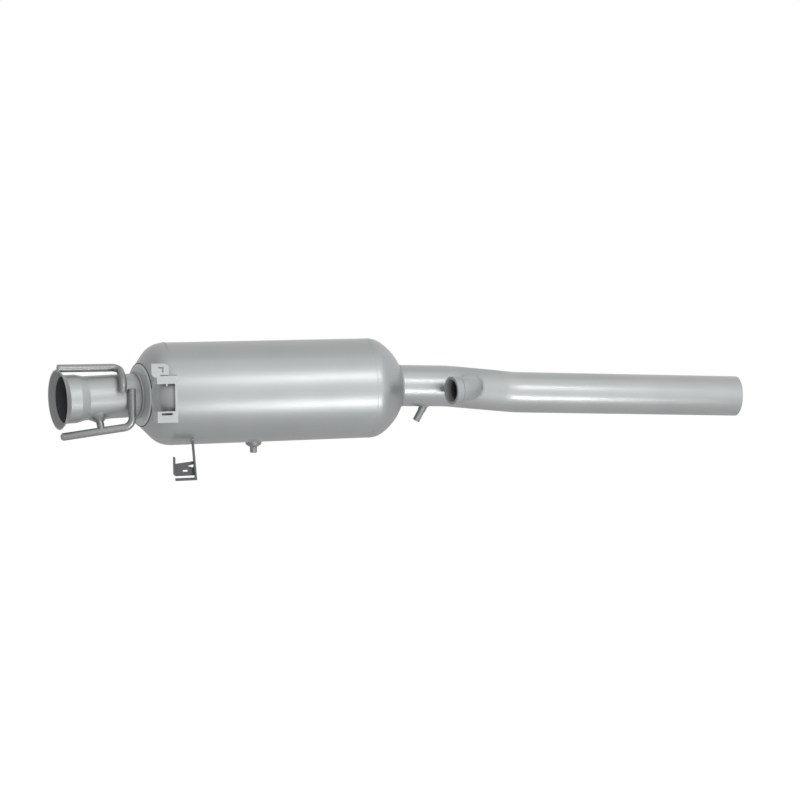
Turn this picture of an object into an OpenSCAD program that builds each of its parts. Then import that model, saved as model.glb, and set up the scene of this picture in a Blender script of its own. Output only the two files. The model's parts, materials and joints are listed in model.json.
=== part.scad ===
// Diesel particulate filter: a round can with two ceramic bricks, its caps, pipes, tappings and brackets.
// Lengths in millimetres, angles in degrees. X runs along the can towards the outlet, Z is up.
// The origin is the middle of the socket in the inlet's mouth.

/* [Can] */
// Outside diameter of the can
can_d = 155; // [140:1:170]
// Sheet thickness of the can and its caps
can_wall = 1.5; // [1:0.1:2]
// Length of the shell between its two caps
can_length = 310; // [300:1:340]

/* [Inlet cap] */
// Turn of the cap's axis towards the viewer
cap_yaw = 7; // [4:0.5:9]
// Droop of the cap's axis
cap_pitch = 3.9; // [1:0.1:5]
// Radius of the cap's rounded shoulder
cap_knuckle = 37.5; // [30:0.5:42]
// Angle between the cap's cone and its axis
cap_slope = 50.5; // [47:0.5:54]

/* [Outlet cap] */
// Radius of the outlet cap's rounded shoulder
dome_knuckle = 30; // [24:1:36]
// Radius of the outlet cap's crown
dome_crown = 86.5; // [80:0.5:95]
// Straight skirt of the outlet cap
dome_skirt = 3; // [2:0.5:6]

/* [Tubes] */
// Outside diameter of the inlet and outlet tubes
pipe_d = 65; // [60:0.5:68]
// Wall of the inlet and outlet tubes
pipe_wall = 1.5; // [1.2:0.1:2]
// How far a tube's wall is drawn thinner on each side where it bends
bend_draw = 0.05; // [0.04:0.01:0.1]

/* [Inlet] */
// Turn of the inlet pipe towards the viewer
inlet_yaw = 16.5; // [13:0.5:20]
// From where the cap's cone is as wide as the tubes to the neck's middle
neck_run = 4.3; // [3:0.1:4.8]
// From the neck's middle to its outer end
neck_end = 6.3; // [5:0.1:8]
// How far the neck reaches through the collar
neck_inside = 5; // [3:0.5:8]
// From the neck's middle to the mouth
inlet_length = 106.3; // [102:0.1:114]
// Outside diameter of the socket
socket_d = 71; // [69.5:0.5:73]
// Length of the socket
socket_length = 17; // [14:0.5:20]
// Length of the taper behind the socket
taper_length = 13; // [9:0.5:16]
// Outside diameter of the flared mouth
flare_d = 88; // [84:0.5:91]
// Length of the flare
flare_length = 8.5; // [7:0.5:10]
// From the neck's middle back to the face of the collar that closes the cap
collar_back = 13; // [12.5:0.1:15]
// Thickness of the collar
collar_t = 2; // [1.5:0.1:3]

/* [Outlet] */
// Height of the outlet pipe's inner end over the can's axis
outlet_rise = 2.7; // [0:0.1:5]
// How far beyond the shell the outlet pipe begins, inside the cap
outlet_inset = 44; // [41:0.5:46]
// Droop of the first run
run_1_pitch = 2.1; // [1:0.1:3]
// Length of the first run
run_1 = 86; // [82:0.5:92]
// Turn of the second run towards the viewer
run_2_yaw = 3; // [2:0.1:4]
// Droop of the second run
run_2_pitch = 6.3; // [5:0.1:7]
// Length of the second run
run_2 = 115.5; // [110:0.5:125]
// Turn of the tail towards the viewer
tail_yaw = 6; // [5:0.1:8]
// Droop of the tail
tail_pitch = 2; // [1:0.1:3]
// Length of the tail
tail_length = 374; // [330:1:420]
// Bend radius of the outlet pipe
outlet_bend = 160; // [120:5:200]

/* [Branch] */
// Outside diameter of the branch
branch_d = 39; // [36:0.5:41]
// Wall of the branch
branch_wall = 2; // [1.5:0.1:3]
// Lean of the branch's mouth away from the can's axis
branch_yaw = 13; // [12:0.5:16]
// Turn of the branch between its mouth and the outlet pipe
branch_turn = 49; // [46:0.5:53]
// Bend radius of the branch
branch_bend = 28; // [26:0.5:31]
// Straight length behind the branch's mouth
branch_lead = 14; // [13:0.5:16]
// From the outlet pipe's inner end to the branch's mouth
branch_from = 73.5; // [70:0.5:77]
// Outside diameter of the branch's collar
branch_collar_d = 43; // [42.5:0.5:46]
// Length of the branch's collar
branch_collar_length = 11.5; // [9:0.5:13]
// Gap between the branch's collar and the outlet pipe
branch_gap = 14.5; // [13:0.5:18]

/* [Stud] */
// Diameter of the stud on the outlet pipe's front
stud_d = 10; // [8:0.5:11]
// How far the stud stands out of the outlet pipe
stud_out = 8; // [5:0.5:10]
// Chamfer at the stud's end
stud_chamfer = 1; // [0.5:0.1:1.5]
// Distance of the stud along the outlet pipe
stud_at = 72.5; // [70:0.5:73]

/* [Tappings] */
// Outside diameter of the tappings' tubes
tap_d = 11; // [10:0.5:12]
// Bore of the tappings
tap_bore = 6; // [5:0.5:7]
// Chamfer at the end of a tapping
tap_chamfer = 0.8; // [0.5:0.1:1]
// Where the front tapping sits along the shell
front_tap_at = 131.4; // [129:0.2:134]
// Diameter of the front tapping's foot
front_tap_foot_d = 24; // [20:0.5:26]
// Height of the front tapping's foot below the can
front_tap_foot = 8; // [6:0.5:10]
// Height of the front tapping's tube below its foot
front_tap_tube = 9; // [8:0.5:14]
// Distance of the rear tapping along the outlet pipe
rear_tap_at = 67.5; // [62:0.5:72]
// Lean of the rear tapping towards the can
rear_tap_lean = 29; // [24:0.5:33]
// Length of the rear tapping from the outlet pipe's axis
rear_tap_length = 62.5; // [57:0.5:68]
// Diameter of the rear tapping's root
rear_tap_root_d = 12.5; // [12:0.5:14]
// Length of the rear tapping's root from the outlet pipe's axis
rear_tap_root = 44; // [42:0.5:46]

/* [Rods] */
// Diameter of the two rods
rod_d = 11.5; // [11:0.1:12]
// How far a rod is coped where it lies on the pipe
rod_cope = 1.4; // [1:0.1:1.8]
// Gap between the pipe and the upper rod
rod_gap = 4.5; // [3.5:0.1:6]
// Height of the upper rod's axis over the flare's rim
rod_seat = 2; // [1:0.1:3]
// Bend radius of the upper rod where it leaves the pipe's top
rod_bend_tight = 9; // [8:0.5:10]
// Bend radius of the upper rod at the pipe's front
rod_bend_wide = 20; // [18:0.5:22]
// Where the upper rod turns down, from the neck's middle
upper_turn_at = 13; // [11:0.5:15]
// Where the upper rod lies on the pipe, from the neck's middle
upper_foot_at = 21.5; // [20.5:0.5:24]
// Height of the upper rod's foot over the pipe's axis
upper_foot_z = 10; // [8:0.5:11]
// Height of the upper rod's front bend over the pipe's axis
upper_bend_z = 24; // [22:0.5:26]
// How far the upper rod's front bend lies behind its foot
upper_bend_back = 2; // [0:0.5:4]
// Sideways place of the upper rod on the flare's rim
upper_side = 3; // [0:0.5:5]
// Where the lower rod's upright stands, from the neck's middle
lower_at = 7; // [6.4:0.2:8]
// Height of the upright's top over the pipe's axis
lower_top = 14; // [10:0.5:16]
// Gap between the pipe and the lower rod
lower_gap = 3.4; // [2.5:0.1:5]
// Gap between the flare's rim and the lower rod
lower_rim_gap = 4.2; // [3:0.1:6]
// Sideways place of the lower rod's end
lower_end_side = 8; // [4:0.5:14]
// Bend radius of the lower rod
lower_bend = 14; // [12:0.5:16]
// Chamfer at the lower rod's end
rod_chamfer = 3; // [1:0.1:4]
// Where the post stands, from the neck's middle
post_at = 50; // [46:0.5:53]
// Diameter of the post
post_d = 11; // [8:0.5:11]
// Diameter of the post's foot
post_foot_d = 27; // [20:0.5:28]
// Height of the post's foot
post_foot = 6; // [4:0.5:8]
// How far the edge of the post's foot lies below the pipe's crest
post_foot_sink = 0.5; // [0.3:0.1:1]

/* [Sensor bracket] */
// Sheet thickness of the bracket
bracket_t = 2; // [1.5:0.1:2.5]
// How far the bracket's face stands in front of the can
bracket_stand = 8.5; // [7:0.5:11]
// Left edge of the bracket, from the cap's base
bracket_left = -30; // [-32:0.5:-28]
// Right edge of the bracket, from the cap's base
bracket_right = 7.2; // [6:0.2:10]
// Height of the bracket's shoulder over the can's axis
bracket_top = 35.5; // [33:0.5:38]
// Depth of the bracket's foot below the can's axis
bracket_bottom = 32.8; // [30:0.2:36]
// Strip between the window and the bracket's right edge
window_right = 3.8; // [3:0.1:5]
// Top of the window over the can's axis
window_top = 23.9; // [21:0.1:25]
// Bottom of the window below the can's axis
window_bottom = 16.2; // [14:0.2:18]
// Width of the tab over the window
tab_w = 25; // [22:0.5:28]
// Height of the tab
tab_h = 17.5; // [15:0.5:19]
// Depth of the tab's flange
tab_depth = 13; // [10:0.5:16]
// Corner radius of the tab
tab_corner = 7; // [5:0.5:8]
// Side of the lanced corner in the tab
lance = 8; // [6:0.5:9]
// Width of the lanced corner's two slits
lance_slit = 2.4; // [1.5:0.1:3]
// Place of the lanced corner from the bracket's left edge
lance_at = 9.5; // [7:0.5:11]
// Height of the lanced corner over the bracket's shoulder
lance_up = 5.5; // [4:0.5:7]
// Width of the cut at the tab's lower left corner
tab_cut_w = 4.5; // [3:0.1:4.6]
// Height of the cut at the tab's lower left corner
tab_cut_h = 6; // [4:0.5:8]
// Width of the slit under the tab
tab_slit = 1.6; // [1:0.1:2]
// Width of the bracket's left flank
flank_w = 7.7; // [6:0.1:9]
// Depth of the bracket's left flank
flank_depth = 9; // [7:0.5:10]
// How far the flank is cut back at its top
flank_top = 5.2; // [4:0.1:6]
// How far the flank is cut back at its foot
flank_foot = 3; // [2:0.1:4]
// Height where the flank's upper cut begins, over the can's axis
flank_high = 12; // [8:0.5:15]
// Width of the rim between the flank's edge and the window
flank_rim = 1.6; // [1.4:0.1:2.5]
// Width of the slot under the window
foot_slot_w = 16; // [12:0.5:20]
// Height of the slot under the window
foot_slot_h = 3.2; // [2:0.2:4]
// Place of the slot from the bracket's left edge
foot_slot_at = 13.4; // [10:0.2:16]
// Strip between the window and the slot
foot_slot_drop = 2.5; // [2:0.1:4]
// Width of the tooth over the window
tooth_w = 2.4; // [2:0.2:4]
// Length of the tooth over the window
tooth_l = 3; // [2:0.2:4]
// Place of the tooth from the bracket's left edge
tooth_at = 20.5; // [16:0.5:26]

/* [Hanger] */
// Thickness of the hanger bar
bar_t = 3; // [2.5:0.1:4]
// Width of the hanger bar
bar_w = 8; // [6:0.5:12]
// Where the hanger bar leaves the can
bar_at = 32.6; // [28:0.2:38]
// How far the hanger bar stands in front of the can's axis
bar_side = 38; // [34:1:44]
// Lean of the hanger bar
bar_lean = 4; // [2:0.5:7]
// Drop of the hanger bar below the can
bar_drop = 49; // [44:0.5:56]
// Length of the hanger bar's foot
bar_foot = 32; // [28:0.5:36]
// Thickness of the hanger plate
plate_t = 2.5; // [2:0.1:3]
// Height of the hanger plate
plate_h = 21.5; // [18:0.5:23]
// Gap between the hanger plate and the bar's foot
plate_gap = 3; // [2:0.2:5]
// Height of the lip on the hanger plate
plate_lip = 26; // [24:0.5:29]
// Length of the slot in the hanger plate
plate_slot_l = 7; // [5:0.5:9]
// Width of the slot in the hanger plate
plate_slot_w = 2.8; // [2:0.2:4]
// Height of the slot over the hanger plate's lower edge
plate_slot_up = 6; // [4:0.5:8]
// Width of the three-cornered hole in the hanger plate
plate_eye_w = 9; // [6:0.5:10]
// Height of the three-cornered hole
plate_eye_h = 5; // [3:0.5:5.5]
// Strip between the three-cornered hole and the plate's top
plate_eye_drop = 4.5; // [3:0.5:5]
// Strip between the three-cornered hole and the plate's right edge
plate_rim = 3; // [2.5:0.5:4]

/* [Bricks] */
// Thickness of the fibre mats
mat_t = 4; // [3:0.5:5]
// Where the catalyst begins along the shell
catalyst_at = 14; // [13:0.5:17]
// Length of the catalyst
catalyst_length = 101; // [90:1:104]
// Length of the filter
filter_length = 155; // [140:1:158]
// Gap between the filter and the shell's end
filter_end_gap = 8; // [6:0.5:10]
// Pitch of the bricks' channels
cell_pitch = 8; // [7.5:0.5:10]
// Thickness of the walls between channels
cell_wall = 1.5; // [1:0.1:2]
// Skin around the channels
brick_skin = 5; // [4:0.5:7]
// Depth of the plugs that close the filter's channels
plug_depth = 10; // [6:0.5:14]
// Width of the mats' edge seals along the can
seal_w = 2.5; // [2:0.1:3]

/* [Hidden] */
$fn = 96;

// How far a bend laps into the straight run beside it, inside the wall
lap = 1;
// How far a cut runs past the face that it opens
over = 1;
can_r = can_d / 2;
bore_r = can_r - can_wall;
brick_r = bore_r - mat_t;
pipe_r = pipe_d / 2;
socket_r = socket_d / 2;
flare_r = flare_d / 2;
rod_r = rod_d / 2;

function unit(v) = v / norm(v);
// A direction that starts along side * X and is turned towards the viewer and drooped
function heading(side, yaw, pitch) = [side * cos(yaw) * cos(pitch), -sin(yaw) * cos(pitch), -sin(pitch)];
// The length that a bend of radius r takes off the run before it
function bend_cut(u, v, r) = r * tan(acos(u * v) / 2);

cap_dir = heading(-1, cap_yaw, cap_pitch);
inlet_dir = heading(-1, inlet_yaw, 0);
mitre_dir = unit(cap_dir + [-1, 0, 0]);

// The end of the cap's rounded shoulder, and where its cone has a given radius
cone_from = [can_r - cap_knuckle * (1 - cos(cap_slope)), cap_knuckle * sin(cap_slope)];
cone_tip_r = pipe_r / 2;
function cone_at(r) = cone_from[1] + (cone_from[0] - r) / tan(cap_slope);

// The neck's middle on the inlet pipe's axis, and the collar's back on the cap
neck_at = (cone_at(pipe_r) + neck_run) * heading(-1, cap_yaw, 0);
collar_at = neck_at - (collar_back + collar_t) * inlet_dir;

flare_from = inlet_length - flare_length;
socket_from = flare_from - socket_length;
taper_from = socket_from - taper_length;
taper_turn = atan((socket_r - pipe_r) / taper_length);
flare_turn = atan((flare_r - socket_r) / flare_length);
taper_shift = pipe_wall * tan(taper_turn / 2);
flare_shift = pipe_wall * tan(flare_turn / 2);
socket_mid = (socket_from + taper_shift + flare_from + flare_shift) / 2;
// The place of the socket's middle, from the cap's base
socket_place = neck_at + socket_mid * inlet_dir;

// The crown's half angle and how far its centre lies below the shoulder's
dome_open = asin((can_r - dome_knuckle) / (dome_crown - dome_knuckle));
dome_low = (dome_crown - dome_knuckle) * cos(dome_open);

run_1_dir = heading(1, 0, run_1_pitch);
run_2_dir = heading(1, run_2_yaw, run_2_pitch);
tail_dir = heading(1, tail_yaw, tail_pitch);
outlet_from = [can_length + outlet_inset, 0, outlet_rise];
outlet_turn_1 = outlet_from + run_1 * run_1_dir;
outlet_turn_2 = outlet_turn_1 + run_2 * run_2_dir;
outlet_end = outlet_turn_2 + tail_length * tail_dir;
outlet_path = [outlet_from, outlet_turn_1, outlet_turn_2, outlet_end];

// How far the branch's mouth stands to the side, so that its collar clears the outlet pipe
branch_reach = branch_collar_d / 2 * cos(branch_yaw) + branch_collar_length * sin(branch_yaw);
branch_out = pipe_r + branch_gap + branch_reach;
branch_mouth = outlet_from + [branch_from, -branch_out, -branch_from * tan(run_1_pitch)];
branch_in = -heading(-1, branch_yaw, 0);
branch_root = -heading(-1, branch_yaw + branch_turn, 0);
branch_turn_at = branch_mouth + (branch_lead + bend_cut(branch_in, branch_root, branch_bend)) * branch_in;
branch_path = [branch_mouth, branch_turn_at, branch_turn_at + branch_out * branch_root];

rear_tap_foot = outlet_from + rear_tap_at * run_1_dir;
rear_tap_dir = [-sin(rear_tap_lean), 0, -cos(rear_tap_lean)];

// The rods' places from the neck's middle: along the pipe, to the side of the viewer, up
rod_side = pipe_r + rod_r - rod_cope;
upper_path = [[inlet_length, upper_side, flare_r + rod_seat],
  [upper_turn_at, upper_side, pipe_r + rod_gap + rod_r],
  [upper_foot_at - upper_bend_back, rod_side, upper_bend_z],
  [upper_foot_at, rod_side, upper_foot_z]];
lower_path = [[lower_at, rod_side, lower_top], [lower_at, rod_side, -(pipe_r + lower_gap + rod_r)],
  [inlet_length, lower_end_side, -(flare_r + lower_rim_gap + rod_r)]];
lower_run = lower_path[2] - lower_path[1];
post_on_rod = lower_path[1] + lower_run * (post_at - lower_at) / lower_run[0];

// The leaning bar's left side at a height, its width there, and the ends of its foot
function bar_x(z) = bar_at - (z + can_r) * tan(bar_lean);
bar_run = bar_t / cos(bar_lean);
bar_foot_z = -(can_r + bar_drop);
bar_foot_right = bar_x(bar_foot_z) + bar_run;
bar_foot_left = bar_foot_right - bar_foot;
filter_at = can_length - filter_end_gap - filter_length;

// The place of the bracket's face in front of the can's axis
bracket_face = can_r + bracket_stand;

// Moves from the cap's base to the shared frame
module in_frame() {
  translate(-socket_place) children();
}

// Stands children, drawn up local Z, at a place along a direction
module along(place, dir) {
  translate(place) rotate([0, acos(dir[2]), atan2(dir[1], dir[0])]) children();
}

// The inlet pipe's own frame: X along the pipe to the mouth, Y to the viewer, Z up
module inlet_frame() {
  translate(neck_at) rotate([0, 0, 180 + inlet_yaw]) children();
}

// A bend at a corner between two directions; children draw the section
module bend_at(corner, u, v, r) {
  turn = acos(u * v);
  hub = corner + unit(v - u) * r / cos(turn / 2);
  x = unit(corner - u * r * tan(turn / 2) - hub);
  z = cross(x, u);
  more = lap / r * 180 / PI;
  multmatrix([[x[0], u[0], z[0], hub[0]], [x[1], u[1], z[1], hub[1]], [x[2], u[2], z[2], hub[2]]])
    rotate([0, 0, -more]) rotate_extrude(angle = turn + 2 * more) translate([r, 0]) children();
}

// A tube or bar section, drawn thinner by a draw on each side; no bore when r_in is 0
module section(r_out, r_in, draw) {
  difference() {
    circle(r_out - draw);
    if (r_in > 0) circle(r_in + draw);
  }
}

// A bent tube along a path, with one bend radius for each corner
module bent(path, radii, r_out, r_in) {
  last = len(path) - 1;
  for (i = [0 : last - 1]) {
    d = unit(path[i + 1] - path[i]);
    cut_a = i == 0 ? 0 : bend_cut(unit(path[i] - path[i - 1]), d, radii[i - 1]);
    cut_b = i == last - 1 ? 0 : bend_cut(d, unit(path[i + 2] - path[i + 1]), radii[i]);
    along(path[i] + cut_a * d, d)
      linear_extrude(norm(path[i + 1] - path[i]) - cut_a - cut_b) section(r_out, r_in, 0);
  }
  for (i = [1 : last - 1])
    bend_at(path[i], unit(path[i] - path[i - 1]), unit(path[i + 1] - path[i]), radii[i - 1])
      section(r_out, r_in, bend_draw);
}

// A slab on a plane, larger than the can
module slab(place, dir, h) {
  along(place, dir) translate([-can_d, -can_d, 0]) cube([2 * can_d, 2 * can_d, h]);
}

// A wedge of the plane around a hub, between two angles from the radius
module wedge(hub, reach, from, to) {
  polygon([hub, hub + reach * [cos(from), sin(from)], hub + reach * [cos(to), sin(to)]]);
}

// A rounded stretch of sheet around a hub, between two angles, drawn thinner like a bend
module round_half(hub, r, from, to) {
  more = lap / r * 180 / PI;
  intersection() {
    translate(hub) section(r, r - can_wall, bend_draw);
    wedge(hub, 3 * r, from - more, to + more);
  }
}

// The inlet cap's cone filled solid, along its axis
module cone_solid() {
  rotate_extrude() polygon([[0, cone_from[1]], cone_from, [cone_tip_r, cone_at(cone_tip_r)],
    [0, cone_at(cone_tip_r)]]);
}

// The inlet cap's skirt, shoulder and cone as sheet, from its base along its axis
module cap_sheet() {
  t = can_wall * [cos(cap_slope), sin(cap_slope)];
  cone_end = [cone_tip_r, cone_at(cone_tip_r)];
  translate([0, 0, -can_r]) linear_extrude(can_r) section(can_r, bore_r, 0);
  rotate_extrude() round_half([can_r - cap_knuckle, 0], cap_knuckle, 0, cap_slope);
  rotate_extrude() polygon([cone_from, cone_end, cone_end - t, cone_from - t]);
}

// The inlet cap filled solid
module cap_solid() {
  along([0, 0, 0], cap_dir) {
    translate([0, 0, -can_r]) cylinder(r = can_r, h = can_r);
    rotate_extrude() translate([can_r - cap_knuckle, 0]) intersection() {
      circle(cap_knuckle - bend_draw);
      translate([(cap_knuckle - can_r) / 2, -cap_knuckle]) square(2 * cap_knuckle);
    }
    cylinder(r = can_r - cap_knuckle, h = cone_from[1]);
    cone_solid();
  }
}

// The outlet cap's skirt, shoulder and crown as sheet, from the shell's end
module dome_sheet() {
  linear_extrude(dome_skirt) section(can_r, bore_r, 0);
  translate([0, 0, dome_skirt]) {
    rotate_extrude() round_half([can_r - dome_knuckle, 0], dome_knuckle, 0, 90 - dome_open);
    rotate_extrude() intersection() {
      translate([0, -dome_low]) section(dome_crown, dome_crown - can_wall, 0);
      wedge([0, -dome_low], 3 * dome_crown, 90 - dome_open, 90 - asin(pipe_r / 2 / dome_crown));
    }
  }
}

// The shell filled solid
module shell_solid() {
  rotate([0, 90, 0]) cylinder(r = can_r, h = can_length);
}

// The can filled solid, without its outlet cap
module can_solid() {
  shell_solid();
  cap_solid();
}

// The inlet pipe filled solid, from the neck's middle
module inlet_solid() {
  rotate([0, 90, 0]) rotate_extrude() polygon([[0, 0], [pipe_r, 0], [pipe_r, taper_from],
    [socket_r, socket_from], [socket_r, flare_from], [flare_r, inlet_length], [0, inlet_length]]);
}

// The lower rod along its path
module lower_bar() {
  end = lower_path[2] - rod_chamfer * unit(lower_run);
  bent([lower_path[0], lower_path[1], end], [lower_bend], rod_r, 0);
  along(end, unit(lower_run)) rotate_extrude() polygon([[0, -lap], [rod_r - bend_draw, -lap],
    [rod_r - bend_draw, 0], [rod_r - rod_chamfer, rod_chamfer], [0, rod_chamfer]]);
}

// The straight channels of a brick, every cell or every other one
module cells(which) {
  n = floor((brick_r - brick_skin) / cell_pitch);
  side = cell_pitch - cell_wall;
  for (i = [-n : n])
    for (j = [-n : n])
      if (norm([abs(i) * cell_pitch + side / 2, abs(j) * cell_pitch + side / 2]) < brick_r - brick_skin
          && (which < 0 || (i + j + 2 * n) % 2 == which))
        translate([i * cell_pitch, j * cell_pitch]) square(side, center = true);
}

// A ring inside the shell, from a place along it
module shell_ring(from, width, r_in) {
  translate([from, 0, 0]) rotate([0, 90, 0]) difference() {
    cylinder(r = bore_r, h = width);
    translate([0, 0, -over]) cylinder(r = r_in, h = width + 2 * over);
  }
}

module inlet_pipe() {
  color("silver") in_frame() inlet_frame() rotate([0, 90, 0]) rotate_extrude() polygon([[pipe_r, neck_end],
    [pipe_r, taper_from], [socket_r, socket_from], [socket_r, flare_from], [flare_r, inlet_length],
    [flare_r - pipe_wall / cos(flare_turn), inlet_length], [socket_r - pipe_wall, flare_from + flare_shift],
    [socket_r - pipe_wall, socket_from + taper_shift], [pipe_r - pipe_wall, taper_from + taper_shift],
    [pipe_r - pipe_wall, neck_end]]);
}

module inlet_neck() {
  color("silver") in_frame() along(collar_at - neck_inside * inlet_dir, inlet_dir)
    linear_extrude(neck_inside + collar_t + collar_back + neck_end) section(pipe_r, pipe_r - pipe_wall, 0);
}

module inlet_collar() {
  color("gray") in_frame() difference() {
    intersection() {
      along([0, 0, 0], cap_dir) cone_solid();
      slab(collar_at, inlet_dir, collar_t);
    }
    along(neck_at, -inlet_dir) cylinder(r = pipe_r, h = pipe_d);
  }
}

module inlet_cap() {
  color("lightgray") in_frame() difference() {
    along([0, 0, 0], cap_dir) cap_sheet();
    slab([0, 0, 0], -mitre_dir, can_d);
    slab(collar_at, inlet_dir, can_d);
  }
}

module upper_rod() {
  color("dimgray") in_frame() inlet_frame() difference() {
    bent(upper_path, [rod_bend_tight, rod_bend_wide], rod_r, 0);
    inlet_solid();
  }
}

module lower_rod() {
  color("dimgray") in_frame() inlet_frame() difference() {
    lower_bar();
    inlet_solid();
  }
}

module rod_post() {
  reach = norm([0, post_on_rod[1], post_on_rod[2]]);
  color("dimgray") in_frame() inlet_frame() difference() {
    along([post_at, 0, 0], unit([0, post_on_rod[1], post_on_rod[2]])) rotate_extrude() polygon([
      [0, pipe_r / 2], [post_foot_d / 2, pipe_r / 2], [post_foot_d / 2, pipe_r - post_foot_sink],
      [post_d / 2, pipe_r + post_foot], [post_d / 2, reach], [0, reach]]);
    inlet_solid();
    lower_bar();
  }
}

// The bracket's outline as the viewer sees it, with its flank cut back at both ends
module bracket_outline() {
  polygon([[bracket_left + flank_top, bracket_top], [bracket_left, flank_high], [bracket_left, 0],
    [bracket_left + flank_foot, -bracket_bottom], [bracket_right, -bracket_bottom],
    [bracket_right, bracket_top]]);
}

// The tab's outline, inset for the hollow behind it
module tab_outline(inset) {
  left = bracket_left + inset;
  low = bracket_top - bracket_t + inset;
  w = tab_w - 2 * inset;
  h = tab_h + bracket_t - 2 * inset;
  corner = tab_corner - inset;
  translate([left, low]) square([w, h - corner]);
  translate([left, low]) square([w - corner, h]);
  translate([left + w - corner, low + h - corner]) circle(corner);
}

// Extrudes an outline in the viewer's plane from the bracket's face backwards
module behind_face(depth) {
  translate([0, depth - bracket_face, 0]) rotate([90, 0, 0]) linear_extrude(depth) children();
}

module sensor_bracket() {
  h = bracket_top + bracket_bottom;
  bend = atan2(flank_depth, flank_w);
  color("gainsboro") in_frame() difference() {
    union() {
      // Flank, face and right wall, bent from one sheet
      intersection() {
        translate([0, -bracket_face, -bracket_bottom]) linear_extrude(h) polygon([
          [bracket_left, flank_depth], [bracket_left + flank_w, 0], [bracket_right, 0],
          [bracket_right, bracket_face],
          [bracket_right - bracket_t, bracket_face], [bracket_right - bracket_t, bracket_t],
          [bracket_left + flank_w + bracket_t * tan(bend / 2), bracket_t],
          [bracket_left + bracket_t * sin(bend), flank_depth + bracket_t * cos(bend)]]);
        behind_face(bracket_face) bracket_outline();
      }
      // Two shelves, welded to the can
      translate([bracket_left + flank_w, -bracket_face, -bracket_bottom])
        cube([bracket_right - bracket_left - flank_w, bracket_face, bracket_t]);
      translate([bracket_left + flank_w, -bracket_face, bracket_top - bracket_t])
        cube([bracket_right - bracket_left - flank_w, bracket_face, bracket_t]);
      // Tab, flanged all round
      behind_face(tab_depth) tab_outline(0);
    }
    translate([0, bracket_t, 0]) behind_face(tab_depth) tab_outline(bracket_t);
    behind_face(bracket_face) difference() {
      intersection() {
        translate([bracket_left, -window_bottom])
          square([bracket_right - bracket_left - window_right, window_top + window_bottom]);
        translate([flank_rim, 0]) bracket_outline();
      }
      translate([bracket_left + tooth_at, window_top - tooth_l]) square([tooth_w, tooth_l + over]);
    }
    translate([0, -over, 0]) behind_face(bracket_t + 2 * over) {
      translate([bracket_left + lance_at, bracket_top + lance_up]) difference() {
        square(lance);
        square(lance - lance_slit);
      }
      translate([bracket_left + tab_w / 2, bracket_top]) square([tab_w, tab_slit]);
      translate([bracket_left + foot_slot_at, -window_bottom - foot_slot_drop - foot_slot_h])
        square([foot_slot_w, foot_slot_h]);
    }
    translate([0, -over, 0]) behind_face(tab_depth + 2 * over)
      translate([bracket_left, bracket_top - bracket_t])
        polygon([[-over, -over], [tab_cut_w, -over], [-over, tab_cut_h]]);
    can_solid();
  }
}

module hanger_bar() {
  top = bar_t - sqrt(pow(can_r, 2) - pow(bar_side + bar_w / 2, 2));
  bend = bar_foot_z + bar_t;
  color("dimgray") in_frame() difference() {
    translate([0, bar_w / 2 - bar_side, 0]) rotate([90, 0, 0]) linear_extrude(bar_w) polygon([
      [bar_x(top), top], [bar_x(top) + bar_run, top], [bar_foot_right, bar_foot_z],
      [bar_foot_left, bar_foot_z], [bar_foot_left, bend], [bar_x(bend), bend]]);
    shell_solid();
  }
}

module hanger_plate() {
  left = bar_foot_left;
  right = bar_foot_right - bar_run / 2;
  low = bar_foot_z + bar_t + plate_gap;
  top = low + plate_h;
  eye_right = right - plate_rim;
  eye_top = top - plate_eye_drop;
  color("dimgray") in_frame() translate([0, -bar_side, 0]) {
    translate([0, bar_w / 2 + plate_t, 0]) rotate([90, 0, 0]) linear_extrude(plate_t) difference() {
      polygon([[left, low], [right, low], [right - plate_h * tan(bar_lean), top], [left, top - bar_t]]);
      polygon([[eye_right - plate_eye_w, eye_top - plate_eye_h / 2], [eye_right, eye_top],
        [eye_right, eye_top - plate_eye_h]]);
      translate([(left + right - plate_slot_l) / 2, low + plate_slot_up])
        square([plate_slot_l, plate_slot_w]);
    }
    translate([left - plate_t, -bar_w / 2, low + bar_t]) cube([plate_t, bar_w + plate_t, plate_lip]);
  }
}

module can_shell() {
  color("silver") in_frame() difference() {
    translate([-can_r, 0, 0]) rotate([0, 90, 0]) difference() {
      cylinder(r = can_r, h = can_length + can_r);
      translate([0, 0, -over]) cylinder(r = bore_r, h = can_length + can_r + 2 * over);
    }
    slab([0, 0, 0], mitre_dir, can_d);
    translate([front_tap_at, 0, -can_d]) cylinder(d = tap_bore, h = can_d);
  }
}

module front_tap() {
  tube = front_tap_foot + front_tap_tube;
  color("gray") in_frame() difference() {
    translate([front_tap_at, 0, -can_r]) rotate([180, 0, 0]) rotate_extrude() polygon([
      [tap_bore / 2, -front_tap_foot], [front_tap_foot_d / 2, -front_tap_foot],
      [front_tap_foot_d / 2, front_tap_foot / 2], [tap_d / 2 + tap_chamfer, front_tap_foot],
      [tap_d / 2, front_tap_foot], [tap_d / 2, tube - tap_chamfer], [tap_d / 2 - tap_chamfer, tube],
      [tap_bore / 2, tube]]);
    shell_solid();
  }
}

module outlet_cap() {
  color("lightgray") in_frame() difference() {
    translate([can_length, 0, 0]) rotate([0, 90, 0]) dome_sheet();
    along(outlet_from, run_1_dir) cylinder(r = pipe_r, h = run_1);
  }
}

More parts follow.
